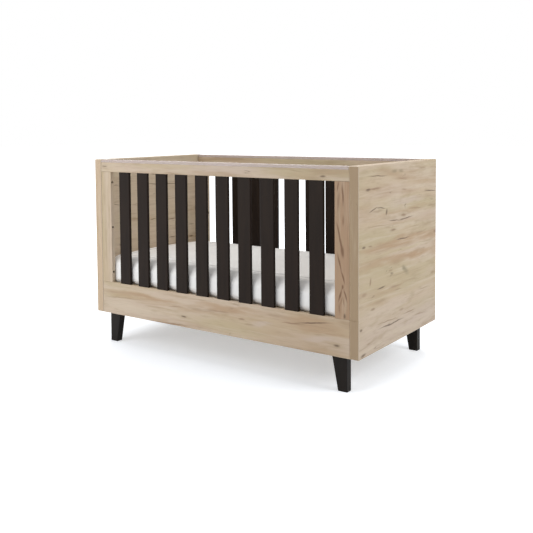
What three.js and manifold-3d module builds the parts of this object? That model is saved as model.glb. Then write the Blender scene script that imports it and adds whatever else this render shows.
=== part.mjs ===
// Baby crib: two board end panels carry a slatted front and back side, a height-adjustable slatted
// base on steel pins, a mattress and four tapered legs. Millimetres, +X along the length, +Y to the
// back, +Z up. The origin is on the floor under the middle of the crib.
import * as THREE from 'three';
import { mergeVertices } from 'three/addons/utils/BufferGeometryUtils.js';
import Module from 'manifold-3d';

const wasm = await Module();
wasm.setup();

// ---- driving dimensions ---------------------------------------------------------------------

// Overall body
const CRIB_LENGTH = 1280;
const CRIB_DEPTH = 660;
const PANEL_HEIGHT = 660;
const PANEL_THICKNESS = 36;
const PANEL_EDGE_RADIUS = 3;
const PANEL_CORNER_RADIUS = 4;
const EDGE_JOINT_WIDTH = 1.2;
const EDGE_JOINT_DEPTH = 1;

// Front and back side: a frame of boards with upright slats
const FRAME_THICKNESS = 18;
const FRAME_SETBACK = 1.5;
const TOP_RAIL_HEIGHT = 51;
const TOP_RAIL_DROP = 2;
const APRON_HEIGHT = 135;
const STILE_WIDTH = 58;
const FRAME_EDGE_RADIUS = 2;
const SLATS_PER_SIDE = 10;
const SLAT_WIDTH = 58;
const SLAT_THICKNESS = 12;
const SLAT_EDGE_RADIUS = 2;
const TENON_LENGTH = 10;

// Clear strip clipped over each top rail
const STRIP_WALL = 1.2;
const STRIP_LIP = 11;
const STRIP_END_GAP = 3;

// Bolts that hold each side to the end panels, through the inner edge of the stiles
const DRILLING_GRID = 32;
const BOLT_END_MARGIN = 42;
const BOLT_HEAD_BORE = 11;
const BOLT_HEAD_DEPTH = 12;
const BOLT_SHANK_BORE = 6.6;
const INSERT_BORE = 9;
const INSERT_DEPTH = 15;

// Legs and the blocks that carry them
const LEG_HEIGHT = 126;
const LEG_TOP_WIDTH = 60;
const LEG_FOOT_WIDTH = 36;
const LEG_DEPTH = 30;
const LEG_INSET_LENGTHWISE = 58;
const LEG_INSET_DEPTHWISE = 22;
const LEG_EDGE_RADIUS = 1.5;
const BLOCK_THICKNESS = 15;
const BLOCK_LENGTH = 110;
const BLOCK_WIDTH = 64;
const BLOCK_CORNER_CUT = 30;
const BLOCK_EDGE_RADIUS = 1;

// Base: a slatted frame that rests on pins in the end panels
const BASE_TOP_BELOW_APRON_TOP = 11;
const BASE_END_CLEARANCE = 4;
const BASE_SIDE_CLEARANCE = 5;
const BASE_RAIL_THICKNESS = 25;
const BASE_RAIL_HEIGHT = 36;
const BASE_RAIL_EDGE_RADIUS = 2;
const BASE_SLATS = 10;
const BASE_SLAT_WIDTH = 70;
const BASE_SLAT_THICKNESS = 8;
const BASE_SLAT_EDGE_RADIUS = 2;

// Support pins and the three heights of holes for them
const PIN_DIAMETER = 8;
const PIN_DEPTH_IN_PANEL = 12;
const PIN_REACH_UNDER_RAIL = 20;
const PIN_COLLAR_DIAMETER = 14;
const PIN_COLLAR_THICKNESS = 2;
const PIN_TIP_CHAMFER = 1;
const PIN_INSET = 105;
const PIN_CENTRE_ABOVE_RAIL_FOOT = 5;
const LOW_POSITION_DROP = 64;
const HIGH_POSITION_RISE = 192;

// Mattress
const MATTRESS_END_CLEARANCE = 6;
const MATTRESS_SIDE_CLEARANCE = 10.5;
const MATTRESS_THICKNESS = 110;
const MATTRESS_CORNER_RADIUS = 45;
const MATTRESS_EDGE_RADIUS = 28;

// Fits and facets
const GAP = 0.3;
const ROUNDING_STEPS = 3;
const BORE_SIDES = 16;

// ---- sizes that follow ----------------------------------------------------------------------

const PANEL_FOOT_Z = LEG_HEIGHT;
const PANEL_CENTRE_Z = PANEL_FOOT_Z + PANEL_HEIGHT / 2;
const PANEL_TOP_Z = PANEL_FOOT_Z + PANEL_HEIGHT;
const INNER_HALF_LENGTH = CRIB_LENGTH / 2 - PANEL_THICKNESS;
const FRAME_LENGTH = 2 * (INNER_HALF_LENGTH - GAP);
const FRAME_CENTRE_Y = CRIB_DEPTH / 2 - FRAME_SETBACK - FRAME_THICKNESS / 2;
const INNER_HALF_DEPTH = CRIB_DEPTH / 2 - FRAME_SETBACK - FRAME_THICKNESS;
const RAIL_TOP_Z = PANEL_TOP_Z - TOP_RAIL_DROP;
const RAIL_FOOT_Z = RAIL_TOP_Z - TOP_RAIL_HEIGHT;
const APRON_TOP_Z = PANEL_FOOT_Z + APRON_HEIGHT;
const STILE_CENTRE_X = INNER_HALF_LENGTH - GAP - STILE_WIDTH / 2;
const STILE_LENGTH = RAIL_FOOT_Z - APRON_TOP_Z - 2 * GAP;
const STILE_CENTRE_Z = (RAIL_FOOT_Z + APRON_TOP_Z) / 2;
const SLAT_OPENING = 2 * (STILE_CENTRE_X - STILE_WIDTH / 2);
const SLAT_GAP = (SLAT_OPENING - SLATS_PER_SIDE * SLAT_WIDTH) / (SLATS_PER_SIDE + 1);
const SLAT_PITCH = SLAT_WIDTH + SLAT_GAP;
const SLAT_LENGTH = RAIL_FOOT_Z - APRON_TOP_Z + 2 * TENON_LENGTH;

// One bolt sits at the middle of a stile, and one near each end on the drilling grid.
const BOLT_GRID_STEPS = Math.floor((STILE_LENGTH / 2 - BOLT_END_MARGIN) / DRILLING_GRID);
const FRAME_BOLT_HEIGHTS = [-1, 0, 1].map(
  (place) => STILE_CENTRE_Z + place * BOLT_GRID_STEPS * DRILLING_GRID,
);

const BASE_LENGTH = 2 * (INNER_HALF_LENGTH - BASE_END_CLEARANCE);
const BASE_WIDTH = 2 * (INNER_HALF_DEPTH - BASE_SIDE_CLEARANCE);
const BASE_SLAT_TOP_Z = APRON_TOP_Z - BASE_TOP_BELOW_APRON_TOP;
const BASE_SLAT_CENTRE_Z = BASE_SLAT_TOP_Z - BASE_SLAT_THICKNESS / 2;
const BASE_RAIL_TOP_Z = BASE_SLAT_TOP_Z - BASE_SLAT_THICKNESS - GAP;
const BASE_RAIL_CENTRE_Z = BASE_RAIL_TOP_Z - BASE_RAIL_HEIGHT / 2;
const BASE_RAIL_FOOT_Z = BASE_RAIL_TOP_Z - BASE_RAIL_HEIGHT;
const BASE_END_RAIL_X = (BASE_LENGTH - BASE_RAIL_THICKNESS) / 2;
const BASE_SIDE_RAIL_Y = (BASE_WIDTH - BASE_RAIL_THICKNESS) / 2;
const BASE_SIDE_RAIL_LENGTH = BASE_LENGTH - 2 * (BASE_RAIL_THICKNESS + GAP);
const BASE_SLAT_PITCH = (BASE_LENGTH - BASE_SLAT_WIDTH) / (BASE_SLATS - 1);

const MATTRESS_LENGTH = 2 * (INNER_HALF_LENGTH - MATTRESS_END_CLEARANCE);
const MATTRESS_WIDTH = 2 * (INNER_HALF_DEPTH - MATTRESS_SIDE_CLEARANCE);

const PIN_Y = CRIB_DEPTH / 2 - PIN_INSET;
const PIN_Z = BASE_RAIL_FOOT_Z + PIN_CENTRE_ABOVE_RAIL_FOOT;
const PIN_HOLE_HEIGHTS = [PIN_Z - LOW_POSITION_DROP, PIN_Z, PIN_Z + HIGH_POSITION_RISE];
const PIN_REACH = BASE_END_CLEARANCE + PIN_REACH_UNDER_RAIL;

// ---- shapes and solids ----------------------------------------------------------------------

const X_AXIS = new THREE.Vector3(1, 0, 0);
const Y_AXIS = new THREE.Vector3(0, 1, 0);
const Z_AXIS = new THREE.Vector3(0, 0, 1);

// Turns a section drawn in XY and swept along Z, so that the sweep runs along the named axis. The
// section's width then lies along Y, X or X, and its height along Z, Z or Y.
const ALONG = {
  x: new THREE.Matrix4().makeBasis(Y_AXIS, Z_AXIS, X_AXIS),
  y: new THREE.Matrix4().makeBasis(X_AXIS, Z_AXIS, Y_AXIS.clone().negate()),
  z: new THREE.Matrix4(),
};

function roundedRectangle(width, height, radius) {
  const right = width / 2;
  const top = height / 2;
  const shape = new THREE.Shape();
  shape.absarc(right - radius, top - radius, radius, 0, Math.PI / 2);
  shape.absarc(radius - right, top - radius, radius, Math.PI / 2, Math.PI);
  shape.absarc(radius - right, radius - top, radius, Math.PI, Math.PI * 1.5);
  shape.absarc(right - radius, radius - top, radius, Math.PI * 1.5, Math.PI * 2);
  shape.closePath();
  return shape;
}

// A bar of rounded section, with square ends, centred on the origin.
function bar(axis, width, height, length, radius) {
  const geometry = new THREE.ExtrudeGeometry(roundedRectangle(width, height, radius), {
    depth: length,
    bevelEnabled: false,
    curveSegments: ROUNDING_STEPS,
  });
  geometry.translate(0, 0, -length / 2);
  return geometry.applyMatrix4(ALONG[axis]);
}

// A plate cut to an outline, with the edges of both faces rounded, centred on its thickness.
function plate(axis, outline, thickness, radius) {
  const geometry = new THREE.ExtrudeGeometry(outline, {
    depth: thickness - 2 * radius,
    bevelEnabled: true,
    bevelThickness: radius,
    bevelSize: radius,
    bevelOffset: -radius,
    bevelSegments: ROUNDING_STEPS,
    curveSegments: ROUNDING_STEPS,
  });
  geometry.translate(0, 0, radius - thickness / 2);
  return geometry.applyMatrix4(ALONG[axis]);
}

function outlineOf(points) {
  return new THREE.Shape(points.map(([x, y]) => new THREE.Vector2(x, y)));
}

function rectangle(width, height) {
  return outlineOf([
    [-width / 2, -height / 2],
    [width / 2, -height / 2],
    [width / 2, height / 2],
    [-width / 2, height / 2],
  ]);
}

function toSolid(geometry) {
  const bare = geometry.clone();
  bare.deleteAttribute('normal');
  bare.deleteAttribute('uv');
  const merged = mergeVertices(bare, 1e-4);
  const mesh = new wasm.Mesh({
    numProp: 3,
    vertProperties: new Float32Array(merged.attributes.position.array),
    triVerts: new Uint32Array(merged.index.array),
  });
  return new wasm.Manifold(mesh);
}

function toGeometry(solid) {
  const mesh = solid.getMesh();
  const geometry = new THREE.BufferGeometry();
  geometry.setAttribute('position', new THREE.BufferAttribute(mesh.vertProperties, 3));
  geometry.setIndex(new THREE.BufferAttribute(mesh.triVerts, 1));
  geometry.computeVertexNormals();
  return geometry;
}

function cut(geometry, tools) {
  const remaining = tools.reduce((solid, tool) => solid.subtract(toSolid(tool)), toSolid(geometry));
  return toGeometry(remaining);
}

// A drill of the given bore along X, from one X to another.
function drillAlongX(bore, fromX, toX, y, z) {
  const drill = new THREE.CylinderGeometry(bore / 2, bore / 2, Math.abs(toX - fromX), BORE_SIDES);
  drill.rotateZ(Math.PI / 2);
  drill.translate((fromX + toX) / 2, y, z);
  return drill;
}

function block(sizeX, sizeY, sizeZ, x, y, z) {
  return new THREE.BoxGeometry(sizeX, sizeY, sizeZ).translate(x, y, z);
}

// ---- materials ------------------------------------------------------------------------------

function finish(color, roughness, metalness = 0, opacity = 1) {
  return () => new THREE.MeshStandardMaterial({
    color, roughness, metalness, opacity, transparent: opacity < 1,
  });
}

const oakBoard = finish('#c6ab8c', 0.62);
const blackLacquer = finish('#2b2726', 0.45);
const beech = finish('#d9b88c', 0.6);
const birchPly = finish('#dcc39a', 0.65);
const clearPlastic = finish('#c9c8d0', 0.15, 0, 0.4);
const zincSteel = finish('#b9bcc0', 0.35, 1);
const mattressCover = finish('#e9e8ea', 0.95);

const crib = new THREE.Group();

function add(name, geometry, material, x = 0, y = 0, z = 0) {
  const mesh = new THREE.Mesh(geometry, material());
  mesh.name = name;
  mesh.position.set(x, y, z);
  crib.add(mesh);
}

const ENDS = [['left', -1], ['right', 1]];
const SIDES = [['front', -1], ['back', 1]];
const CORNERS = SIDES.flatMap(([side, sy]) => ENDS.map(([end, sx]) => [`${side}_${end}`, sx, sy]));

function twoDigits(number) {
  return String(number).padStart(2, '0');
}

// ---- end panels -----------------------------------------------------------------------------

// Each panel is drilled on its inner face: for the threaded inserts that take the side bolts, and
// in two columns of three for the support pins of the base. A fine joint crosses its front and back
// edges in line with the apron's top.
function endPanel(sx) {
  const face = roundedRectangle(CRIB_DEPTH, PANEL_HEIGHT, PANEL_CORNER_RADIUS);
  const board = plate('x', face, PANEL_THICKNESS, PANEL_EDGE_RADIUS);
  const innerFace = -sx * PANEL_THICKNESS / 2;
  const mouth = innerFace - sx * GAP;
  const insertBottom = innerFace + sx * INSERT_DEPTH;
  const pinBore = PIN_DIAMETER + 2 * GAP;
  const pinBottom = innerFace + sx * (PIN_DEPTH_IN_PANEL + GAP);
  const tools = SIDES.flatMap(([, sy]) => [
    ...FRAME_BOLT_HEIGHTS.map((height) => drillAlongX(
      INSERT_BORE, mouth, insertBottom, sy * FRAME_CENTRE_Y, height - PANEL_CENTRE_Z,
    )),
    ...PIN_HOLE_HEIGHTS.map((height) => drillAlongX(
      pinBore, mouth, pinBottom, sy * PIN_Y, height - PANEL_CENTRE_Z,
    )),
    block(
      PANEL_THICKNESS + 2 * GAP, 2 * EDGE_JOINT_DEPTH, EDGE_JOINT_WIDTH,
      0, sy * CRIB_DEPTH / 2, APRON_TOP_Z - PANEL_CENTRE_Z,
    ),
  ]);
  return cut(board, tools);
}

for (const [end, sx] of ENDS) {
  const x = sx * (CRIB_LENGTH - PANEL_THICKNESS) / 2;
  add(`end_panel_${end}`, endPanel(sx), oakBoard, x, 0, PANEL_CENTRE_Z);
}

// ---- front and back sides -------------------------------------------------------------------

const slatCentres = Array.from(
  { length: SLATS_PER_SIDE },
  (_, index) => (index - (SLATS_PER_SIDE - 1) / 2) * SLAT_PITCH,
);

// Pockets for the slat ends in a rail or apron, opening at its upper (+1) or lower (-1) edge.
function withMortises(board, height, openEdge) {
  const depth = TENON_LENGTH + GAP;
  const centreZ = openEdge * (height / 2 + GAP - (depth + GAP) / 2);
  const pockets = slatCentres.map((x) => block(
    SLAT_WIDTH + 2 * GAP, SLAT_THICKNESS + 2 * GAP, depth + GAP, x, 0, centreZ,
  ));
  return cut(board, pockets);
}

// A stile is bored through its width for the side bolts, with a wider seat for each bolt's head.
function stile(sx) {
  const board = bar('z', STILE_WIDTH, FRAME_THICKNESS, STILE_LENGTH, FRAME_EDGE_RADIUS);
  const innerEdge = -sx * (STILE_WIDTH / 2 + GAP);
  const seat = -sx * (STILE_WIDTH / 2 - BOLT_HEAD_DEPTH);
  const drills = FRAME_BOLT_HEIGHTS.flatMap((height) => [
    drillAlongX(BOLT_HEAD_BORE, innerEdge, seat, 0, height - STILE_CENTRE_Z),
    drillAlongX(BOLT_SHANK_BORE, innerEdge, -innerEdge, 0, height - STILE_CENTRE_Z),
  ]);
  return cut(board, drills);
}

// The clear strip is a channel that clips over the rail's top, with a bead along each lip.
function teethingStrip() {
  const inside = FRAME_THICKNESS / 2 + GAP;
  const outside = inside + STRIP_WALL;
  const section = outlineOf([
    [-outside, -STRIP_LIP],
    [-inside, -STRIP_LIP],
    [-inside, 0],
    [inside, 0],
    [inside, -STRIP_LIP],
    [outside, -STRIP_LIP],
    [outside, 0],
    [inside, STRIP_WALL],
    [-inside, STRIP_WALL],
    [-outside, 0],
  ]);
  const length = 2 * (INNER_HALF_LENGTH - STRIP_END_GAP);
  const channel = new THREE.ExtrudeGeometry(section, { depth: length, bevelEnabled: false });
  channel.translate(0, 0, -length / 2);
  return channel.applyMatrix4(ALONG.x);
}

for (const [side, sy] of SIDES) {
  const y = sy * FRAME_CENTRE_Y;
  const rail = plate('y', rectangle(FRAME_LENGTH, TOP_RAIL_HEIGHT), FRAME_THICKNESS, FRAME_EDGE_RADIUS);
  const railZ = RAIL_TOP_Z - TOP_RAIL_HEIGHT / 2;
  add(`${side}_top_rail`, withMortises(rail, TOP_RAIL_HEIGHT, -1), oakBoard, 0, y, railZ);

  const apron = plate('y', rectangle(FRAME_LENGTH, APRON_HEIGHT), FRAME_THICKNESS, FRAME_EDGE_RADIUS);
  const apronZ = PANEL_FOOT_Z + APRON_HEIGHT / 2;
  add(`${side}_apron`, withMortises(apron, APRON_HEIGHT, 1), oakBoard, 0, y, apronZ);

  for (const [end, sx] of ENDS) {
    add(`${side}_stile_${end}`, stile(sx), oakBoard, sx * STILE_CENTRE_X, y, STILE_CENTRE_Z);
  }

  slatCentres.forEach((x, index) => {
    const slat = bar('z', SLAT_WIDTH, SLAT_THICKNESS, SLAT_LENGTH, SLAT_EDGE_RADIUS);
    add(`${side}_slat_${twoDigits(index + 1)}`, slat, blackLacquer, x, y, STILE_CENTRE_Z);
  });

  add(`${side}_teething_strip`, teethingStrip(), clearPlastic, 0, y, RAIL_TOP_Z + GAP);
}

// ---- legs -----------------------------------------------------------------------------------

// The leg's outer edge stands upright and its inner edge leans, so that it narrows to the foot.
function leg(sx) {
  const outline = outlineOf([
    [0, 0],
    [-sx * LEG_FOOT_WIDTH, 0],
    [-sx * LEG_TOP_WIDTH, LEG_HEIGHT - GAP],
    [0, LEG_HEIGHT - GAP],
  ]);
  return plate('y', outline, LEG_DEPTH, LEG_EDGE_RADIUS);
}

// A block in the bottom corner, behind the apron, carries the leg. Its free corner is cut off.
function legBlock(sx, sy) {
  const outline = outlineOf([
    [0, 0],
    [-sx * BLOCK_LENGTH, 0],
    [-sx * BLOCK_LENGTH, -sy * (BLOCK_WIDTH - BLOCK_CORNER_CUT)],
    [-sx * (BLOCK_LENGTH - BLOCK_CORNER_CUT), -sy * BLOCK_WIDTH],
    [0, -sy * BLOCK_WIDTH],
  ]);
  return plate('z', outline, BLOCK_THICKNESS, BLOCK_EDGE_RADIUS);
}

for (const [corner, sx, sy] of CORNERS) {
  const legX = sx * (CRIB_LENGTH / 2 - LEG_INSET_LENGTHWISE);
  const legY = sy * (CRIB_DEPTH / 2 - LEG_INSET_DEPTHWISE - LEG_DEPTH / 2);
  add(`leg_${corner}`, leg(sx), blackLacquer, legX, legY, 0);

  const blockX = sx * (INNER_HALF_LENGTH - GAP);
  const blockY = sy * (INNER_HALF_DEPTH - GAP);
  const blockZ = PANEL_FOOT_Z + BLOCK_THICKNESS / 2;
  add(`leg_block_${corner}`, legBlock(sx, sy), beech, blockX, blockY, blockZ);
}

// ---- slatted base ---------------------------------------------------------------------------

// Each end rail has a slot from below, with a round top, that drops over each support pin.
function baseEndRail() {
  const rail = bar('y', BASE_RAIL_THICKNESS, BASE_RAIL_HEIGHT, BASE_WIDTH, BASE_RAIL_EDGE_RADIUS);
  const slot = PIN_DIAMETER + 2 * GAP;
  const reach = BASE_RAIL_THICKNESS / 2 + GAP;
  const pinZ = PIN_Z - BASE_RAIL_CENTRE_Z;
  const mouthHeight = PIN_CENTRE_ABOVE_RAIL_FOOT + GAP;
  const tools = SIDES.flatMap(([, sy]) => [
    drillAlongX(slot, -reach, reach, sy * PIN_Y, pinZ),
    block(2 * reach, slot, mouthHeight, 0, sy * PIN_Y, pinZ - mouthHeight / 2),
  ]);
  return cut(rail, tools);
}

for (const [end, sx] of ENDS) {
  add(`base_end_rail_${end}`, baseEndRail(), beech, sx * BASE_END_RAIL_X, 0, BASE_RAIL_CENTRE_Z);
}

for (const [name, y] of [['front', -BASE_SIDE_RAIL_Y], ['centre', 0], ['back', BASE_SIDE_RAIL_Y]]) {
  const rail = bar('x', BASE_RAIL_THICKNESS, BASE_RAIL_HEIGHT, BASE_SIDE_RAIL_LENGTH, BASE_RAIL_EDGE_RADIUS);
  add(`base_long_rail_${name}`, rail, beech, 0, y, BASE_RAIL_CENTRE_Z);
}

for (let index = 0; index < BASE_SLATS; index += 1) {
  const slat = bar('y', BASE_SLAT_WIDTH, BASE_SLAT_THICKNESS, BASE_WIDTH, BASE_SLAT_EDGE_RADIUS);
  const x = (index - (BASE_SLATS - 1) / 2) * BASE_SLAT_PITCH;
  add(`base_slat_${twoDigits(index + 1)}`, slat, birchPly, x, 0, BASE_SLAT_CENTRE_Z);
}

// ---- support pins ---------------------------------------------------------------------------

// Turned from bar, with a collar that seats on the panel's inner face. It lies along its own Y.
function supportPin() {
  const radius = PIN_DIAMETER / 2;
  const tip = radius - PIN_TIP_CHAMFER;
  const profile = [
    [0, -PIN_DEPTH_IN_PANEL],
    [tip, -PIN_DEPTH_IN_PANEL],
    [radius, PIN_TIP_CHAMFER - PIN_DEPTH_IN_PANEL],
    [radius, GAP],
    [PIN_COLLAR_DIAMETER / 2, GAP],
    [PIN_COLLAR_DIAMETER / 2, GAP + PIN_COLLAR_THICKNESS],
    [radius, GAP + PIN_COLLAR_THICKNESS],
    [radius, PIN_REACH - PIN_TIP_CHAMFER],
    [tip, PIN_REACH],
    [0, PIN_REACH],
  ];
  return new THREE.LatheGeometry(profile.map(([r, y]) => new THREE.Vector2(r, y)), BORE_SIDES);
}

for (const [corner, sx, sy] of CORNERS) {
  const pin = supportPin().rotateZ(sx * Math.PI / 2);
  add(`support_pin_${corner}`, pin, zincSteel, sx * INNER_HALF_LENGTH, sy * PIN_Y, PIN_Z);
}

// ---- mattress -------------------------------------------------------------------------------

const mattress = plate(
  'z',
  roundedRectangle(MATTRESS_LENGTH, MATTRESS_WIDTH, MATTRESS_CORNER_RADIUS),
  MATTRESS_THICKNESS,
  MATTRESS_EDGE_RADIUS,
);
add('mattress', mattress, mattressCover, 0, 0, BASE_SLAT_TOP_Z + GAP + MATTRESS_THICKNESS / 2);

export default crib;
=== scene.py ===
"""Baby crib: oak-decor boards, black slats and legs, a slatted beech base and a foam mattress."""

import math

import bpy
import numpy as np
from mathutils import Matrix, Vector


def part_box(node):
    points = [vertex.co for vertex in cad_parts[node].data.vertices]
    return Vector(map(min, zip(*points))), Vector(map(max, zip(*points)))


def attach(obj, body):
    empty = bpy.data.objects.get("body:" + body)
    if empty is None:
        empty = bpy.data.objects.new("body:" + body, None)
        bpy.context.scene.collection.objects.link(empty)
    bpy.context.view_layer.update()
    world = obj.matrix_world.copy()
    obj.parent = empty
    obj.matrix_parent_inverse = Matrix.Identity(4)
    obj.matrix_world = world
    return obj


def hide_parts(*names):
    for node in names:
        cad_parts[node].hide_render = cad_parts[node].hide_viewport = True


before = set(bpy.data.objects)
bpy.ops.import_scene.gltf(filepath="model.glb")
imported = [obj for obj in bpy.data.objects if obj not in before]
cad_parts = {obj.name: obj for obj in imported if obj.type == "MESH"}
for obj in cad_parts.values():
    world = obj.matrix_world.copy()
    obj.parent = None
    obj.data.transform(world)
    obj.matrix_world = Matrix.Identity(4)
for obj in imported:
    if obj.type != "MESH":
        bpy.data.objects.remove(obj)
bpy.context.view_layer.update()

MM = 0.001
SIDES = ("front", "back")
ENDS = ("left", "right")
CORNERS = [f"{side}_{end}" for side in SIDES for end in ENDS]
SLAT_NUMBERS = range(1, 11)
BASE_RAILS = ("front", "centre", "back")


# ==== materials ==============================================================================

def linear(hex_colour):
    """An sRGB hex colour as linear RGBA."""
    channels = [int(hex_colour[i:i + 2], 16) / 255 for i in (1, 3, 5)]
    return [c / 12.92 if c <= 0.04045 else ((c + 0.055) / 1.055) ** 2.4 for c in channels] + [1]


def node(tree, kind, inputs, **settings):
    """Adds a node with its settings; each input is a value, or the node or socket that feeds it."""
    made = tree.nodes.new("ShaderNode" + kind)
    for name, value in settings.items():
        setattr(made, name, value)
    for name, value in inputs.items():
        if isinstance(name, int):
            socket = made.inputs[name]
        else:
            socket = next(s for s in made.inputs if s.enabled and s.name == name)
        if isinstance(value, bpy.types.Node):
            value = next(s for s in value.outputs if s.enabled)
        if isinstance(value, bpy.types.NodeSocket):
            tree.links.new(value, socket)
        else:
            socket.default_value = value
    return made


def new_material(name):
    """A new material, its node tree and its shader."""
    material = bpy.data.materials.new(name)
    material.use_nodes = True
    return material, material.node_tree, material.node_tree.nodes["Principled BSDF"]


def feed(tree, shader, **sources):
    """Links the outputs of nodes to the shader's inputs, named with _ for a space."""
    for name, source in sources.items():
        output = next(s for s in source.outputs if s.enabled)
        tree.links.new(output, shader.inputs[name.replace("_", " ")])


# Object axes that run along the grain, across it and through the board.
GRAIN = {"x": ("X", "Z", "Y"), "y": ("Y", "Z", "X"), "z": ("Z", "X", "Y")}


def grain_space(tree, grain):
    """The place on a board in millimetres: along the grain, across it, through the board."""
    place = node(tree, "TexCoord", {})
    metres = node(tree, "SeparateXYZ", {0: place.outputs["Object"]})
    turned = node(tree, "CombineXYZ", {i: metres.outputs[axis] for i, axis in enumerate(GRAIN[grain])})
    return node(tree, "VectorMath", {"Vector": turned, "Scale": 1 / MM}, operation="SCALE")


def blobs(tree, space, size, detail=2, roughness=0.5):
    """Soft noise whose blobs have that size along, across and through the grain, in millimetres."""
    cells = node(tree, "Mapping", {"Vector": space, "Scale": [1 / s for s in size]})
    return node(
        tree, "TexNoise", {"Vector": cells, "Scale": 1, "Detail": detail, "Roughness": roughness}
    )


def stained(tree, colour, amount, low, high, strength, stain):
    """Colours what is already there with a stain where amount goes from low to high."""
    cover = node(
        tree, "MapRange", {"Value": amount, "From Min": low, "From Max": high, "To Max": strength},
        interpolation_type="SMOOTHSTEP",
    )
    return node(tree, "Mix", {"Factor": cover, "A": colour, "B": linear(stain)}, data_type="RGBA")


# The oak print, layer over layer: blob size in mm, noise detail, where it begins and is full,
# strength and colour. The broad bands lie under a board's own tones and the fine figure over them.
# Pores finer than 3 mm wouldn't show, so they are drawn that coarse.
OAK_GROUND = "#c1ad92"
OAK_BANDS = (
    ((800, 120, 90), 2, 0.42, 0.60, 0.85, "#b8a888"),
    ((650, 80, 70), 2, 0.46, 0.66, 0.85, "#c7b4a0"),
    ((480, 42, 60), 2, 0.54, 0.76, 0.70, "#aa8f74"),
)
OAK_FIGURE = (
    ((380, 20, 40), 3, 0.48, 0.74, 0.50, "#d0c1ab"),
    ((110, 26, 30), 2, 0.52, 0.76, 0.45, "#a69174"),
    ((200, 10, 25), 3, 0.52, 0.78, 0.45, "#9c846b"),
    ((70, 4, 10), 2, 0.52, 0.80, 0.30, "#917a63"),
)
OAK_PORES = (70, 3, 8)
# The tone of the painted highlight along the thick boards' rounded edges.
OAK_EDGE_HIGHLIGHT = "#dccfbd"

# How far the print strays across the grain: blob size in mm, noise detail, and the most either way in mm.
# The noise keeps to the middle of its range, so what shows is about half the most.
GRAIN_WANDER = ((650, 150, 120), 2, 18)
TONE_TEAR = ((190, 42, 40), 3, 36)
MARK_FRAY = ((60, 24, 20), 2, 5)

CRACK_LINES = (170, 14, 40)      # the blobs whose outlines the cracks follow
CRACK_HALF_WIDTH = 0.018         # in the noise's own measure
CRACK_PLACES = (130, 60, 80)     # the blobs that let the cracks through, between these two values
CRACK_PLACES_RANGE = {"From Min": 0.64, "From Max": 0.72}
CRACK_STAIN = "#66523f"

# Tones and marks: strength, colour, and how far in from the outline they are full.
MARK_KINDS = {
    "brown": (0.75, "#ae9070", 0.9),
    "tan": (0.50, "#af9476", 0.9),
    "green": (0.70, "#bbaa89", 0.8),
    "pink": (0.70, "#c4b2a2", 0.8),
    "pale": (0.55, "#cbbba5", 0.8),
    "umber": (0.95, "#a8896d", 0.3),
    "halo": (0.40, "#a08d70", 1.0),
    "moss": (0.60, "#857a60", 1.0),
    "streak": (0.42, "#8a6f55", 0.8),
    "figure": (0.58, "#7f6249", 0.8),
    "heart": (0.85, "#74563f", 0.8),
    "knot": (0.75, "#5c4836", 0.8),
    "crack": (0.78, "#5a4736", 0.7),
}


def marked(tree, colour, space, marks):
    """Adds soft ovals: kind, place along and across the grain, length and width in mm, tilt in degrees."""
    for kind, along, across, length, width, tilt in marks:
        strength, stain, softness = MARK_KINDS[kind]
        spot = node(
            tree, "Mapping",
            {"Vector": space, "Location": (along, across, 0), "Rotation": (0, 0, math.radians(tilt)),
             "Scale": (length / 2, width / 2, 1e6)},
            vector_type="TEXTURE",
        )
        away = node(tree, "VectorMath", {0: spot}, operation="LENGTH")
        inside = node(tree, "Math", {0: 1, 1: away}, operation="SUBTRACT")
        colour = stained(tree, colour, inside, 0, softness, strength, stain)
    return colour


def layered(tree, colour, space, layers):
    """Prints soft layers of stain one over the other."""
    for size, detail, low, high, strength, stain in layers:
        cover = blobs(tree, space, size, detail, roughness=0.6)
        colour = stained(tree, colour, cover, low, high, strength, stain)
    return colour


def strayed(tree, space, size, detail, most):
    """Moves a place across the grain by soft noise, up to that many millimetres either way."""
    noise = blobs(tree, space, size, detail)
    stray = node(tree, "MapRange", {"Value": noise, "To Min": -most, "To Max": most})
    across = node(tree, "CombineXYZ", {"Y": stray})
    return node(tree, "VectorMath", {0: space, 1: across}, operation="ADD")


def cracks(tree, space):
    """The thin lines where one noise crosses its middle, let through here and there by another."""
    lines = blobs(tree, space, CRACK_LINES, detail=1)
    past = node(tree, "Math", {0: lines, 1: 0.5}, operation="SUBTRACT")
    near = node(tree, "Math", {0: past}, operation="ABSOLUTE")
    thin = node(tree, "MapRange", {"Value": near, "From Max": CRACK_HALF_WIDTH, "To Min": 1, "To Max": 0})
    places = blobs(tree, space, CRACK_PLACES, detail=1)
    rare = node(tree, "MapRange", {"Value": places, **CRACK_PLACES_RANGE})
    return node(tree, "Math", {0: thin, 1: rare}, operation="MULTIPLY")


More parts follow.
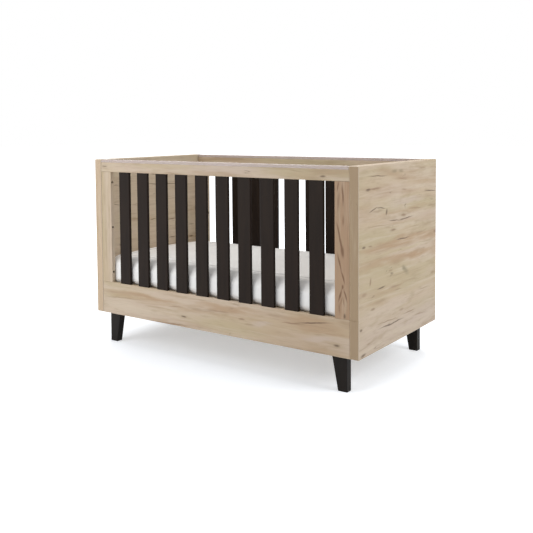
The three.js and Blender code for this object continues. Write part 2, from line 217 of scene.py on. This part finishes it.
def oak_decor(name, grain, cut, tones, marks, edge_grain=None, edge_tone=None):
    """Chipboard faced with a matt rustic oak print: soft bands, streaks, pores, cracks, small knots."""
    material, tree, shader = new_material(f"oak_decor_{name}")
    board = grain_space(tree, grain)
    space = board
    if edge_grain:
        # The banding on the board's narrow front and back edges runs the other way.
        facing = node(tree, "SeparateXYZ", {0: node(tree, "TexCoord", {}).outputs["Normal"]})
        turned = [node(tree, "Math", {0: facing.outputs[axis]}, operation="ABSOLUTE") for axis in "XYZ"]
        on_edge = node(tree, "Math", {0: turned[1], 1: 0.75}, operation="GREATER_THAN")
        edge = grain_space(tree, edge_grain)
        space = node(tree, "Mix", {"Factor": on_edge, "A": board, "B": edge}, data_type="VECTOR")
    printed = node(tree, "VectorMath", {0: space, 1: cut}, operation="ADD")
    printed = strayed(tree, printed, *GRAIN_WANDER)

    colour = layered(tree, linear(OAK_GROUND), printed, OAK_BANDS)
    colour = marked(tree, colour, strayed(tree, board, *TONE_TEAR), tones)
    if edge_grain:
        colour = stained(tree, colour, on_edge, 0, 1, 0.9, edge_tone)
    colour = layered(tree, colour, printed, OAK_FIGURE)
    crack = cracks(tree, printed)
    colour = stained(tree, colour, crack, 0, 1, 0.6, CRACK_STAIN)
    colour = marked(tree, colour, strayed(tree, board, *MARK_FRAY), marks)
    if edge_grain:
        # Painted highlight: the thick board's rounded edges are drawn in a paler tone.
        widest = node(tree, "Math", {0: turned[0], 1: turned[1]}, operation="MAXIMUM")
        flattest = node(tree, "Math", {0: widest, 1: turned[2]}, operation="MAXIMUM")
        colour = stained(tree, colour, flattest, 0.98, 0.85, 0.6, OAK_EDGE_HIGHLIGHT)

    pores = blobs(tree, printed, OAK_PORES)
    relief = node(tree, "Math", {0: pores, 1: crack}, operation="SUBTRACT")
    bump = node(tree, "Bump", {"Height": relief, "Strength": 0.25, "Distance": 0.3 * MM})
    shader.inputs["Roughness"].default_value = 0.6
    shader.inputs["Specular IOR Level"].default_value = 0.3
    feed(tree, shader, Base_Color=colour, Normal=bump)
    return material


def black_lacquer(name, deep, worn):
    """Beech under a matt black lacquer: brown-black, with the pores faintly open in the film."""
    material, tree, shader = new_material(f"matt_black_lacquered_beech_{name}")
    space = grain_space(tree, "z")
    colour = stained(tree, linear(deep), blobs(tree, space, (160, 22, 22)), 0.3, 0.7, 1, worn)
    pores = blobs(tree, space, (30, 2, 2))
    bump = node(tree, "Bump", {"Height": pores, "Strength": 0.12, "Distance": 0.2 * MM})
    shader.inputs["Roughness"].default_value = 0.5
    shader.inputs["Specular IOR Level"].default_value = 0.11
    feed(tree, shader, Base_Color=colour, Normal=bump)
    return material


def bare_wood(name, grain, light, dark, ring_width):
    """Sanded timber without a finish: straight soft grain and short flecks."""
    material, tree, shader = new_material(name)
    space = grain_space(tree, grain)
    rings = blobs(tree, space, (260, ring_width, ring_width), detail=3)
    flecks = blobs(tree, space, (9, 1.6, 1.6), detail=1)
    fibres = blobs(tree, space, (60, 2, 2))
    colour = stained(tree, linear(light), rings, 0.35, 0.7, 0.9, dark)
    colour = stained(tree, colour, flecks, 0.6, 0.8, 0.3, dark)
    bump = node(tree, "Bump", {"Height": fibres, "Strength": 0.1, "Distance": 0.2 * MM})
    shader.inputs["Roughness"].default_value = 0.6
    feed(tree, shader, Base_Color=colour, Normal=bump)
    return material


def clear_plastic():
    """Extruded clear plastic: glossy, a faint violet grey, and the wood under it shows through."""
    material, tree, shader = new_material("clear_extruded_plastic")
    shader.inputs["Base Color"].default_value = linear("#dccfcf")
    shader.inputs["Roughness"].default_value = 0.25
    shader.inputs["IOR"].default_value = 1.5
    shader.inputs["Alpha"].default_value = 0.3
    return material


TURNING_SPREAD = 0.08    # how far the marks of turning take the roughness either way


def plated_steel(name, colour, roughness):
    """Turned steel with a thin plating: the turning leaves a fine mark round the axis."""
    material, tree, shader = new_material(name)
    marks = blobs(tree, grain_space(tree, "x"), (1, 12, 12))
    smooth, rough = roughness - TURNING_SPREAD, roughness + TURNING_SPREAD
    gloss = node(tree, "MapRange", {"Value": marks, "To Min": smooth, "To Max": rough})
    shader.inputs["Base Color"].default_value = linear(colour)
    shader.inputs["Metallic"].default_value = 1
    feed(tree, shader, Roughness=gloss)
    return material


SEAM_FOLD = "seam_fold"    # how deep in the fold of the seam a place on the cover lies, 0 to 1


def cotton_jersey():
    """White knitted cotton over foam, its stitches drawn 2 mm wide so that they show close by."""
    material, tree, shader = new_material("white_cotton_jersey")
    space = grain_space(tree, "x")
    cloud = blobs(tree, space, (120, 90, 60))
    colour = stained(tree, linear("#f4f2ef"), cloud, 0.3, 0.7, 1, "#f8f6f3")
    # The seam's fold is too narrow to catch a shadow of its own, so it is drawn as a soft grey line.
    fold = node(tree, "Attribute", {}, attribute_name=SEAM_FOLD).outputs["Fac"]
    colour = stained(tree, colour, fold, 0.2, 0.9, 0.8, "#b0afad")
    stitches = blobs(tree, space, (2.4, 1.8, 2))
    bump = node(tree, "Bump", {"Height": stitches, "Strength": 0.2, "Distance": 0.4 * MM})
    shader.inputs["Roughness"].default_value = 0.95
    shader.inputs["Specular IOR Level"].default_value = 0.2
    shader.inputs["Sheen Weight"].default_value = 0.1
    feed(tree, shader, Base_Color=colour, Normal=bump)
    return material


# ==== finishes on the CAD nodes ==============================================================

def give(material, *names):
    """Puts a material on CAD nodes."""
    for name in names:
        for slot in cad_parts[name].material_slots:
            slot.material = material


# Tones and marks of single boards: kind, along the grain and across it in mm from the crib's middle
# and the floor, length, width, tilt.
RIGHT_END_TONES = (
    ("pale", 180, 735, 420, 50, 0),
    ("tan", -190, 701, 360, 36, 0),
    ("tan", 220, 702, 320, 28, 0),
    ("pale", -20, 655, 360, 40, 0),
    ("pink", 60, 640, 420, 46, 0),
    ("tan", -300, 625, 220, 90, 0),
    ("tan", 0, 603, 900, 24, 0),
    ("tan", -30, 573, 520, 22, -1),
    ("pale", 60, 548, 520, 30, 0),
    ("brown", 0, 497, 1200, 34, 0),
    ("brown", 260, 488, 320, 44, 0),
    ("green", 20, 463, 700, 30, 0),
    ("brown", -20, 430, 1200, 40, -2),
    ("brown", 130, 424, 320, 34, 0),
    ("tan", 330, 440, 160, 220, 0),
    ("green", 60, 368, 1000, 100, 0),
    ("tan", -120, 331, 640, 34, 0),
    ("tan", -210, 300, 280, 36, 0),
    ("pink", 0, 175, 1400, 190, 0),
    ("pale", 0, 160, 1000, 44, 0),
)
RIGHT_END_MARKS = (
    ("halo", -288, 763, 120, 28, 0),
    ("crack", -190, 746, 200, 5, -3),
    ("moss", -57, 757, 74, 20, 0),
    ("moss", -2, 755, 64, 18, 0),
    ("streak", 192, 757, 100, 10, 0),
    ("streak", 12, 725, 120, 9, -7),
    ("knot", -262, 702, 54, 13, 0),
    ("figure", -210, 702, 120, 9, 0),
    ("streak", 25, 684, 64, 11, 0),
    ("crack", 268, 662, 150, 7, -5),
    ("crack", -225, 629, 80, 6, 12),
    ("crack", -165, 631, 100, 6, -5),
    ("knot", -121, 613, 34, 20, 70),
    ("streak", -190, 622, 120, 14, 0),
    ("streak", 130, 605, 170, 9, -2),
    ("streak", 285, 603, 120, 12, 0),
    ("halo", 20, 588, 110, 26, 0),
    ("figure", 20, 588, 60, 13, 0),
    ("crack", -60, 577, 110, 6, -5),
    ("crack", 40, 575, 170, 7, 2),
    ("streak", -190, 570, 220, 6, -2),
    ("halo", -65, 542, 100, 24, 0),
    ("figure", -65, 542, 58, 12, 0),
    ("streak", 170, 507, 110, 9, 0),
    ("crack", 15, 502, 150, 7, -1),
    ("knot", -294, 507, 38, 11, 0),
    ("figure", -247, 505, 44, 10, 0),
    ("figure", 322, 494, 56, 26, 0),
    ("streak", -88, 398, 54, 13, 0),
    ("moss", 37, 380, 96, 38, -32),
    ("moss", 24, 388, 46, 26, -20),
    ("figure", -246, 380, 44, 18, 75),
    ("crack", -162, 347, 84, 9, 2),
    ("streak", -291, 344, 54, 17, 0),
    ("streak", -50, 334, 150, 10, -2),
    ("streak", -30, 318, 100, 7, -6),
    ("streak", 298, 330, 70, 16, 0),
    ("halo", -150, 302, 90, 16, 0),
    ("figure", -227, 283, 50, 12, 0),
    ("streak", 215, 281, 120, 8, 0),
    ("halo", 100, 278, 70, 30, 0),
    ("streak", 4, 236, 56, 16, 0),
    ("figure", -120, 218, 210, 6, -3),
    ("figure", 75, 215, 140, 6, -1),
    ("crack", -75, 201, 260, 8, -1),
    ("streak", 180, 187, 180, 8, -3),
    ("knot", -314, 228, 28, 14, 0),
    ("streak", -258, 168, 40, 12, 0),
    ("knot", -298, 137, 54, 17, 10),
)
LEFT_END_TONES = (
    ("pale", 0, 500, 5000, 5000, 0),
    ("tan", -60, 503, 300, 40, -3),
    ("tan", 190, 515, 280, 50, 0),
    ("tan", 230, 390, 260, 50, 0),
)
LEFT_END_MARKS = (
    ("crack", 75, 655, 460, 5, -3.7),
    ("crack", -244, 584, 60, 4, -9),
    ("streak", -130, 575, 80, 8, 2),
    ("streak", -110, 508, 160, 9, -5),
    ("crack", -13, 495, 60, 5, 3),
    ("crack", 113, 485, 60, 5, 2),
    ("crack", 256, 443, 60, 5, 0),
    ("crack", 117, 400, 70, 5, -3),
    ("knot", 252, 386, 44, 12, 0),
)
FRONT_APRON_TONES = (
    ("pale", -430, 162, 480, 56, 0),
    ("brown", -300, 224, 620, 38, 0),
    ("tan", -480, 222, 520, 50, 0),
    ("tan", -60, 203, 1400, 30, 0),
    ("brown", 80, 228, 480, 40, 0),
    ("green", 60, 165, 520, 80, 0),
    ("brown", 440, 228, 560, 60, 0),
    ("brown", 520, 205, 420, 40, 0),
    ("tan", 420, 160, 560, 120, 0),
    ("pink", 235, 188, 130, 34, 0),
    ("pink", 480, 178, 190, 30, 0),
    ("tan", 540, 138, 320, 40, 0),
    ("tan", -215, 134, 440, 24, 0),
)
FRONT_APRON_MARKS = (
    ("streak", -500, 200, 330, 6, 3),
    ("streak", -194, 202, 120, 6, 3),
    ("figure", -215, 131, 290, 12, 2),
    ("halo", -144, 169, 110, 26, 0),
    ("knot", -144, 169, 40, 11, 0),
    ("streak", 16, 214, 220, 9, 2),
    ("streak", 118, 252, 60, 9, 0),
    ("figure", 144, 199, 44, 10, 0),
    ("streak", 180, 184, 70, 9, 0),
    ("figure", 372, 217, 130, 7, 4),
    ("crack", 462, 232, 180, 7, 7.3),
    ("halo", 553, 164, 100, 30, 0),
    ("knot", 553, 164, 34, 12, 0),
    ("streak", 445, 128, 320, 9, 1),
)
FRONT_RAIL_TONES = (
    ("tan", 500, 750, 420, 60, 0),
    ("pink", 60, 758, 620, 40, 0),
)
FRONT_RAIL_MARKS = (
    ("knot", -582, 757, 50, 7, 0),
    ("halo", -390, 770, 90, 22, 0),
    ("streak", 389, 763, 100, 5, -6),
    ("knot", 500, 748, 34, 10, 0),
)
RIGHT_STILE_TONES = (
    ("umber", 497, 575, 2200, 900, 0),
)
RIGHT_STILE_MARKS = (
    ("heart", 690, 577, 110, 10, -3),
    ("figure", 665, 560, 100, 15, 4),
    ("heart", 715, 560, 50, 7, 8),
    ("figure", 600, 579, 54, 12, 0),
    ("heart", 560, 562, 90, 11, -10),
    ("heart", 520, 571, 70, 12, -12),
    ("heart", 493, 577, 60, 20, -8),
    ("heart", 455, 566, 90, 11, -14),
    ("heart", 405, 578, 64, 10, -16),
    ("heart", 372, 577, 24, 12, 0),
    ("heart", 343, 568, 70, 9, 14),
    ("heart", 343, 587, 60, 9, -16),
    ("figure", 322, 572, 48, 7, 12),
    ("figure", 322, 581, 48, 7, -12),
    ("figure", 296, 565, 60, 9, 0),
    ("knot", 272, 585, 28, 12, 0),
    ("streak", 520, 598, 400, 5, 0),
)
BOARD_PRINTS = {
    "end_panel_left": (LEFT_END_TONES, LEFT_END_MARKS),
    "end_panel_right": (RIGHT_END_TONES, RIGHT_END_MARKS),
    "front_apron": (FRONT_APRON_TONES, FRONT_APRON_MARKS),
    "front_top_rail": (FRONT_RAIL_TONES, FRONT_RAIL_MARKS),
    "front_stile_right": (RIGHT_STILE_TONES, RIGHT_STILE_MARKS),
}


# Which way the grain runs on each board, and how far along and across the decor it is cut, in mm.
BOARD_CUTS = {
    "end_panel_left": ("y", 0, 900),
    "end_panel_right": ("y", 2600, 0),
    "front_top_rail": ("x", 0, 0),
    "front_apron": ("x", 0, 1500),
    "front_stile_left": ("z", 1700, 0),
    "front_stile_right": ("z", 1700, 700),
    "back_top_rail": ("x", 5000, 0),
    "back_apron": ("x", 5000, 1500),
    "back_stile_left": ("z", 6700, 0),
    "back_stile_right": ("z", 6700, 700),
}
# The banding on the end panels' narrow edges: which way its grain runs, and its tone.
EDGE_BANDING = {
    "end_panel_left": ("z", "#c3ab8f"),
    "end_panel_right": ("z", "#a0886b"),
}


def finish_boards():
    """Faces each board with its own stretch of the decor."""
    for name, (grain, along, across) in BOARD_CUTS.items():
        tones, marks = BOARD_PRINTS.get(name, ((), ()))
        banding = EDGE_BANDING.get(name, ())
        give(oak_decor(name, grain, (along, across, 0), tones, marks, *banding), name)


# Timber without a finish: light and dark tone, and the width of a ring in mm.
BEECH = ("#d9bd95", "#c6a274", 9)
BIRCH_PLYWOOD = ("#e2cda8", "#d2b48a", 15)


def finish_the_rest():
    """Lacquered slats and legs, a bare base and corner blocks, plated pins and clear strips."""
    slats = [f"{side}_slat_{number:02d}" for side in SIDES for number in SLAT_NUMBERS]
    give(black_lacquer("slats", "#1b120c", "#211710"), *slats)
    give(black_lacquer("legs", "#1a1613", "#1f1a16"), *(f"leg_{corner}" for corner in CORNERS))
    long_beech = bare_wood("sanded_beech_lengthwise", "x", *BEECH)
    cross_beech = bare_wood("sanded_beech_crosswise", "y", *BEECH)
    give(long_beech, *(f"base_long_rail_{rail}" for rail in BASE_RAILS))
    give(long_beech, *(f"leg_block_{corner}" for corner in CORNERS))
    give(cross_beech, *(f"base_end_rail_{end}" for end in ENDS))
    birch = bare_wood("sanded_birch_plywood", "y", *BIRCH_PLYWOOD)
    give(birch, *(f"base_slat_{number:02d}" for number in SLAT_NUMBERS))
    zinc = plated_steel("zinc_plated_steel", "#c3c6c9", 0.35)
    give(zinc, *(f"support_pin_{corner}" for corner in CORNERS))
    give(clear_plastic(), *(f"{side}_teething_strip" for side in SIDES))


finish_boards()
finish_the_rest()


# ==== modelling helpers ======================================================================

def select_only(piece):
    """Selects the piece alone and makes it active."""
    bpy.ops.object.select_all(action="DESELECT")
    piece.select_set(True)
    bpy.context.view_layer.objects.active = piece


def apply_place(piece):
    """Puts the object at the origin, with its place and size in its mesh."""
    select_only(piece)
    bpy.ops.object.transform_apply(location=True, rotation=True, scale=True)


def edit_only(piece, kind, chosen):
    """Opens the piece for editing with only those edges or faces selected that suit chosen."""
    select_only(piece)
    bpy.ops.object.mode_set(mode="EDIT")
    bpy.ops.mesh.select_mode(type=kind)
    bpy.ops.mesh.select_all(action="DESELECT")
    bpy.ops.object.mode_set(mode="OBJECT")
    for element in piece.data.edges if kind == "EDGE" else piece.data.polygons:
        element.select = chosen(element)
    bpy.ops.object.mode_set(mode="EDIT")


def round_edges(piece, radius, segments, chosen):
    """Rounds the edges whose two ends suit chosen(a, b)."""
    edit_only(piece, "EDGE", lambda edge: chosen(*(piece.data.vertices[i].co for i in edge.vertices)))
    bpy.ops.mesh.bevel(offset=radius, segments=segments, affect="EDGES")
    bpy.ops.object.mode_set(mode="OBJECT")


def edit_faces(piece, height):
    """Opens the piece for editing with only its level faces at that height selected."""
    near = 0.01 * MM
    edit_only(piece, "FACE", lambda face: abs(face.normal.z) > 0.9 and abs(face.center.z - height) < near)


def apply_modifier(piece, kind, **settings):
    """Adds a modifier with its settings and applies it."""
    modifier = piece.modifiers.new(kind.lower(), kind)
    for name, value in settings.items():
        setattr(modifier, name, value)
    select_only(piece)
    bpy.ops.object.modifier_apply(modifier=modifier.name)


def points_of(mesh):
    """The mesh's points, one row each."""
    places = np.empty(len(mesh.vertices) * 3)
    mesh.vertices.foreach_get("co", places)
    return places.reshape(-1, 3)


# ==== mattress ===============================================================================

# How far inside the plain solid the body starts, before it fills. Front and back it starts outside, nearer
# the slats, and its top starts lower still, because it swells most.
MATTRESS_SLACK = Vector((3, -7, 2)) * MM
MATTRESS_CROWN_ROOM = 1 * MM
MATTRESS_CORNER_RADIUS = 45 * MM
MATTRESS_TOP_RADIUS = 18 * MM
MATTRESS_FOOT_RADIUS = 14 * MM
# The top's crown: rise, where it begins from front to back, and over what way. A full shoulder in front,
# a long slope behind.
MATTRESS_CROWN = (
    (12 * MM, -305 * MM, 55 * MM),
    (10 * MM, -255 * MM, 120 * MM),
    (-22 * MM, -70 * MM, 340 * MM),
)
CROWN_LIMIT = 12 * MM                      # the cover stays within this much above the plain solid
SEAM_INSET = 52 * MM                       # the top panel is sewn to its border this far in
SEAM_DEPTH = 4 * MM
SEAM_REACH = 6 * MM                        # how far the thread's pull reaches either way
CLOTH_VOXEL = 6 * MM
CLOTH_PRESSURE = 1.2
CLOTH_FRAMES = 20
CLOTH_LIMIT = np.array((4, 3.5, 20)) * MM  # how far the cover gives: least along its stitched side walls


def mattress_body(low, high):
    """The foam block, rounded at its corners, softly round its top and tightly round its foot."""
    bpy.ops.object.select_all(action="DESELECT")
    size = high - low
    middle = (low + high) / 2
    bpy.ops.mesh.primitive_cube_add(size=1, location=middle, scale=size)
    body = bpy.context.object
    body.name = "mattress_cover"
    apply_place(body)
    round_edges(body, MATTRESS_CORNER_RADIUS, 6, lambda a, b: abs(a.z - b.z) > size.z / 2)
    round_edges(body, MATTRESS_TOP_RADIUS, 6, lambda a, b: min(a.z, b.z) > middle.z)
    round_edges(body, MATTRESS_FOOT_RADIUS, 4, lambda a, b: max(a.z, b.z) < low.z + MM)
    apply_modifier(body, "REMESH", mode="VOXEL", voxel_size=CLOTH_VOXEL)
    return body


def fill_out(body, floor):
    """Presses the cover out from inside as cloth, and keeps its underside flat on the slats."""
    start = points_of(body.data)
    cloth = body.modifiers.new("filling", "CLOTH")
    cloth.settings.use_pressure = True
    cloth.settings.uniform_pressure_force = CLOTH_PRESSURE
    cloth.settings.effector_weights.gravity = 0
    cloth.settings.quality = 3
    for moment in range(1, CLOTH_FRAMES + 1):
        bpy.context.scene.frame_set(moment)
    select_only(body)
    bpy.ops.object.modifier_apply(modifier="filling")
    bpy.context.scene.frame_set(1)
    moved = points_of(body.data) - start
    settled = start + CLOTH_LIMIT * np.tanh(moved / CLOTH_LIMIT)
    settled[:, 2] = np.maximum(settled[:, 2], floor)
    body.data.vertices.foreach_set("co", settled.ravel())
    body.data.update()


def eased(share):
    """0 below 0, 1 above 1 and an S-curve between."""
    share = np.clip(share, 0, 1)
    return share * share * (3 - 2 * share)


def crown_and_seam(body, low, high):
    """Crowns the top and draws the cover down along the seam between its top panel and the border."""
    points = points_of(body.data)
    inward = np.minimum(points - low, high - points)[:, :2].min(axis=1)
    # The top takes all of it, and the walls quickly less towards the foot.
    upper = np.clip((points[:, 2] - low[2]) / (high[2] - low[2]), 0, 1) ** 4
    crown = sum(rise * eased((points[:, 1] - start) / way) for rise, start, way in MATTRESS_CROWN)
    seam = np.exp(-np.abs(inward - SEAM_INSET) / SEAM_REACH) * upper
    rise = points[:, 2] + crown * upper - high[2]
    rise = np.where(rise > 0, CROWN_LIMIT * np.tanh(rise / CROWN_LIMIT), rise)
    points[:, 2] = high[2] + rise - SEAM_DEPTH * seam
    body.data.vertices.foreach_set("co", points.ravel())
    body.data.attributes.new(SEAM_FOLD, "FLOAT", "POINT").data.foreach_set("value", seam)
    body.data.update()


def mattress():
    """The filled cover that takes the place of the plain solid."""
    low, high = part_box("mattress")
    crown_room = Vector((0, 0, MATTRESS_CROWN_ROOM))
    body = mattress_body(low + MATTRESS_SLACK, high - MATTRESS_SLACK - crown_room)
    fill_out(body, low.z)
    apply_modifier(body, "SUBSURF", levels=1, render_levels=1)
    crown_and_seam(body, np.array(low), np.array(high))
    select_only(body)
    bpy.ops.object.shade_smooth()
    body.data.materials.append(cotton_jersey())
    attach(body, "mattress")
    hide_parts("mattress")


mattress()


# ==== bolts and screws =======================================================================

BOLT_HEAD = (5 * MM, 6 * MM)        # radius and height, an M6 socket head
BOLT_HEAD_EDGE = 0.5 * MM
BOLT_SHANK = (3 * MM, 60 * MM)      # radius and length
BOLT_SOCKET = (2.9 * MM, 3 * MM)    # radius over the hexagon's corners, and depth
BOLT_SEAT_DEPTH = 12 * MM           # the head's seat lies this deep in the stile's inner edge
BOLT_SPACING = 192 * MM             # six steps of the 32 mm drilling grid
SCREW_HEAD = (4 * MM, 3 * MM)       # radius and height
SCREW_SHANK = (2 * MM, 6 * MM)      # radius and length
SCREW_CROSS = (4.8 * MM, 0.9 * MM, 2.4 * MM)    # a slot's length, its width, and twice its depth
SCREW_PROUD = 0.3 * MM
SCREW_TURN = 37                     # degrees from one base slat's crosses to the next
LEG_SCREWS = ((0.25, 25), (0.75, 65))    # share of the leg's width, and degrees the cross is turned


def cut_away(piece, cutter):
    """Cuts one piece out of another and drops the cutter."""
    apply_modifier(piece, "BOOLEAN", operation="DIFFERENCE", object=cutter, solver="EXACT")
    bpy.data.objects.remove(cutter)


def socket_bolt():
    """A socket-head bolt with its seat at the origin, its head above and its shank below."""
    radius, height = BOLT_HEAD
    shank_radius, shank_length = BOLT_SHANK
    socket_radius, depth = BOLT_SOCKET
    bpy.ops.object.select_all(action="DESELECT")
    bpy.ops.mesh.primitive_cylinder_add(
        vertices=24, radius=radius, depth=height, location=(0, 0, height / 2)
    )
    bolt = bpy.context.object
    apply_place(bolt)
    edit_faces(bolt, height)
    bpy.ops.mesh.bevel(offset=BOLT_HEAD_EDGE, segments=2, affect="EDGES")
    bpy.ops.object.mode_set(mode="OBJECT")
    edit_faces(bolt, 0)
    bpy.ops.mesh.inset(thickness=radius - shank_radius)
    bpy.ops.mesh.extrude_region_move(TRANSFORM_OT_translate={"value": (0, 0, -shank_length)})
    bpy.ops.object.mode_set(mode="OBJECT")
    bpy.ops.object.select_all(action="DESELECT")
    bpy.ops.mesh.primitive_cylinder_add(
        vertices=6, radius=socket_radius, depth=2 * depth, location=(0, 0, height)
    )
    cut_away(bolt, bpy.context.object)
    return bolt


def countersunk_screw():
    """A cross-recessed countersunk screw, its head's top at the origin."""
    radius, height = SCREW_HEAD
    shank_radius, shank_length = SCREW_SHANK
    bpy.ops.object.select_all(action="DESELECT")
    bpy.ops.mesh.primitive_cone_add(
        vertices=20, radius1=shank_radius, radius2=radius, depth=height, location=(0, 0, -height / 2)
    )
    screw = bpy.context.object
    apply_place(screw)
    edit_faces(screw, -height)
    bpy.ops.mesh.extrude_region_move(TRANSFORM_OT_translate={"value": (0, 0, -shank_length)})
    bpy.ops.object.mode_set(mode="OBJECT")
    for turn in (0, 90):
        bpy.ops.object.select_all(action="DESELECT")
        bpy.ops.mesh.primitive_cube_add(size=1, rotation=(0, 0, math.radians(turn)), scale=SCREW_CROSS)
        cut_away(screw, bpy.context.object)
    return screw


def placed(spot, degrees, axis):
    """The place of a fastener that is turned about that axis and moved to its spot."""
    return Matrix.Translation(spot) @ Matrix.Rotation(math.radians(degrees), 4, axis)


def place_copies(pattern, material, body, places):
    """Copies a fastener to each named place, each with a mesh of its own, and drops the pattern."""
    pattern.data.materials.clear()
    pattern.data.materials.append(material)
    select_only(pattern)
    bpy.ops.object.shade_smooth_by_angle(angle=math.radians(30))
    for name, place in places.items():
        copy = pattern.copy()
        copy.name = name
        copy.data = pattern.data.copy()
        copy.data.transform(place)
        bpy.context.scene.collection.objects.link(copy)
        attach(copy, body)
    bpy.data.objects.remove(pattern)


def side_bolts():
    """Three bolts in each stile, deep in its inner edge, pull the side frames to the end panels."""
    places = {}
    for side in SIDES:
        for end in ENDS:
            low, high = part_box(f"{side}_stile_{end}")
            middle = (low + high) / 2
            outwards = 1 if end == "right" else -1
            inner_edge = low.x if end == "right" else high.x
            seat = inner_edge + outwards * BOLT_SEAT_DEPTH
            for step in (-1, 0, 1):
                spot = Vector((seat, middle.y, middle.z + step * BOLT_SPACING))
                places[f"side_bolt_{side}_{end}_{step + 2}"] = placed(spot, -90 * outwards, "Y")
    place_copies(socket_bolt(), plated_steel("black_passivated_steel", "#2a2928", 0.45), "crib", places)


def base_screws():
    """Each base slat is screwed down on the three long rails."""
    places = {}
    for number in SLAT_NUMBERS:
        low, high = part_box(f"base_slat_{number:02d}")
        for rail in BASE_RAILS:
            rail_low, rail_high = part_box(f"base_long_rail_{rail}")
            spot = Vector(((low.x + high.x) / 2, (rail_low.y + rail_high.y) / 2, high.z + SCREW_PROUD))
            places[f"base_screw_{number:02d}_{rail}"] = placed(spot, SCREW_TURN * number, "Z")
    place_copies(countersunk_screw(), bpy.data.materials["zinc_plated_steel"], "mattress_base", places)


def leg_screws():
    """Two screws through each corner block hold its leg."""
    places = {}
    for corner in CORNERS:
        low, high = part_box(f"leg_{corner}")
        block_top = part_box(f"leg_block_{corner}")[1].z
        for number, (share, turn) in enumerate(LEG_SCREWS, start=1):
            along = low.x + share * (high.x - low.x)
            spot = Vector((along, (low.y + high.y) / 2, block_top + SCREW_PROUD))
            places[f"leg_screw_{corner}_{number}"] = placed(spot, turn, "Z")
    place_copies(countersunk_screw(), bpy.data.materials["zinc_plated_steel"], "crib", places)


side_bolts()
base_screws()
leg_screws()


# ==== studio =================================================================================

WHITE = linear("#ffffff")
FLOOR_COLOUR = "#dee3ea"
# How brightly the floor shows: from the crib's middle outwards in metres, and from how much to white.
FLOOR_GLOW = {"From Min": 0.5, "From Max": 1.15, "To Min": 0.385, "To Max": 1}
WORLD_LIGHT = 0.5
# Each softbox: its place, what it is aimed at and its width, in metres, and its power in watts.
SOFTBOXES = {
    "key": ((-1.3, -2.6, 1.6), (-0.1, -0.3, 0.45), 2.6, 45),
    "side_fill": ((3.2, 0.2, 2.2), (0.4, 0.0, 0.45), 1.4, 43),
    "back_fill": ((-2.2, 2.6, 2.3), (0.0, 0.0, 0.45), 2.4, 50),
    "overhead": ((0.0, 0.2, 4.0), (0.0, 0.2, 0.0), 2.5, 30),
}
CAMERA_PLACE = (1.8312, -2.5523, 0.9175)
CAMERA_TURNS = ((35.185, "Z"), (86.916, "X"), (-0.414, "Z"))    # degrees: heading, tilt and roll
CAMERA_LENS = 50.852
CAMERA_SHIFT = -0.185


def white_to_the_eye(tree, plain, seen):
    """A strength that is seen by camera, glossy and transmission rays, and plain for all others."""
    rays = node(tree, "LightPath", {})
    seeing = rays.outputs["Is Camera Ray"]
    for kind in ("Is Glossy Ray", "Is Transmission Ray"):
        seeing = node(tree, "Math", {0: seeing, 1: rays.outputs[kind]}, operation="MAXIMUM")
    return node(tree, "MapRange", {"Value": seeing, "To Min": plain, "To Max": seen})


def studio_floor():
    """A matt white floor that keeps the crib's shadow and turns into the white backdrop farther out."""
    bpy.ops.object.select_all(action="DESELECT")
    bpy.ops.mesh.primitive_plane_add(size=60)
    floor = bpy.context.object
    floor.name = "studio_floor"
    material, tree, shader = new_material("matt_white_floor")
    place = node(tree, "TexCoord", {}).outputs["Object"]
    away = node(tree, "VectorMath", {0: place}, operation="LENGTH")
    seen = node(tree, "MapRange", {"Value": away, **FLOOR_GLOW}, interpolation_type="SMOOTHSTEP")
    shader.inputs["Base Color"].default_value = linear(FLOOR_COLOUR)
    shader.inputs["Roughness"].default_value = 1
    shader.inputs["Specular IOR Level"].default_value = 0
    shader.inputs["Emission Color"].default_value = WHITE
    feed(tree, shader, Emission_Strength=white_to_the_eye(tree, 0, seen))
    floor.data.materials.append(material)


def studio_world():
    """A room that is white to the eye and lights the crib softly from all round."""
    world = bpy.data.worlds.new("white_studio")
    bpy.context.scene.world = world
    world.use_nodes = True
    tree = world.node_tree
    background = tree.nodes["Background"]
    background.inputs["Color"].default_value = WHITE
    feed(tree, background, Strength=white_to_the_eye(tree, WORLD_LIGHT, 1))


def studio_lamps():
    """Square area lamps, each aimed at its part of the crib."""
    for name, (place, target, width, power) in SOFTBOXES.items():
        light = bpy.data.lights.new(name, "AREA")
        light.size = width
        light.energy = power
        lamp = bpy.data.objects.new(name, light)
        bpy.context.scene.collection.objects.link(lamp)
        lamp.location = place
        lamp.rotation_euler = (Vector(target) - Vector(place)).to_track_quat("-Z", "Y").to_euler()


def studio_camera():
    """Stands to the right of the front, a little above the top rail, and looks slightly down."""
    camera = bpy.data.cameras.new("camera")
    camera.lens = CAMERA_LENS
    camera.shift_y = CAMERA_SHIFT
    view = bpy.data.objects.new("camera", camera)
    bpy.context.scene.collection.objects.link(view)
    stand = Matrix.Translation(CAMERA_PLACE)
    for degrees, axis in CAMERA_TURNS:
        stand = stand @ Matrix.Rotation(math.radians(degrees), 4, axis)
    view.matrix_world = stand
    bpy.context.scene.camera = view


studio_floor()
studio_world()
studio_lamps()
studio_camera()
bpy.context.scene.view_settings.view_transform = "Standard"
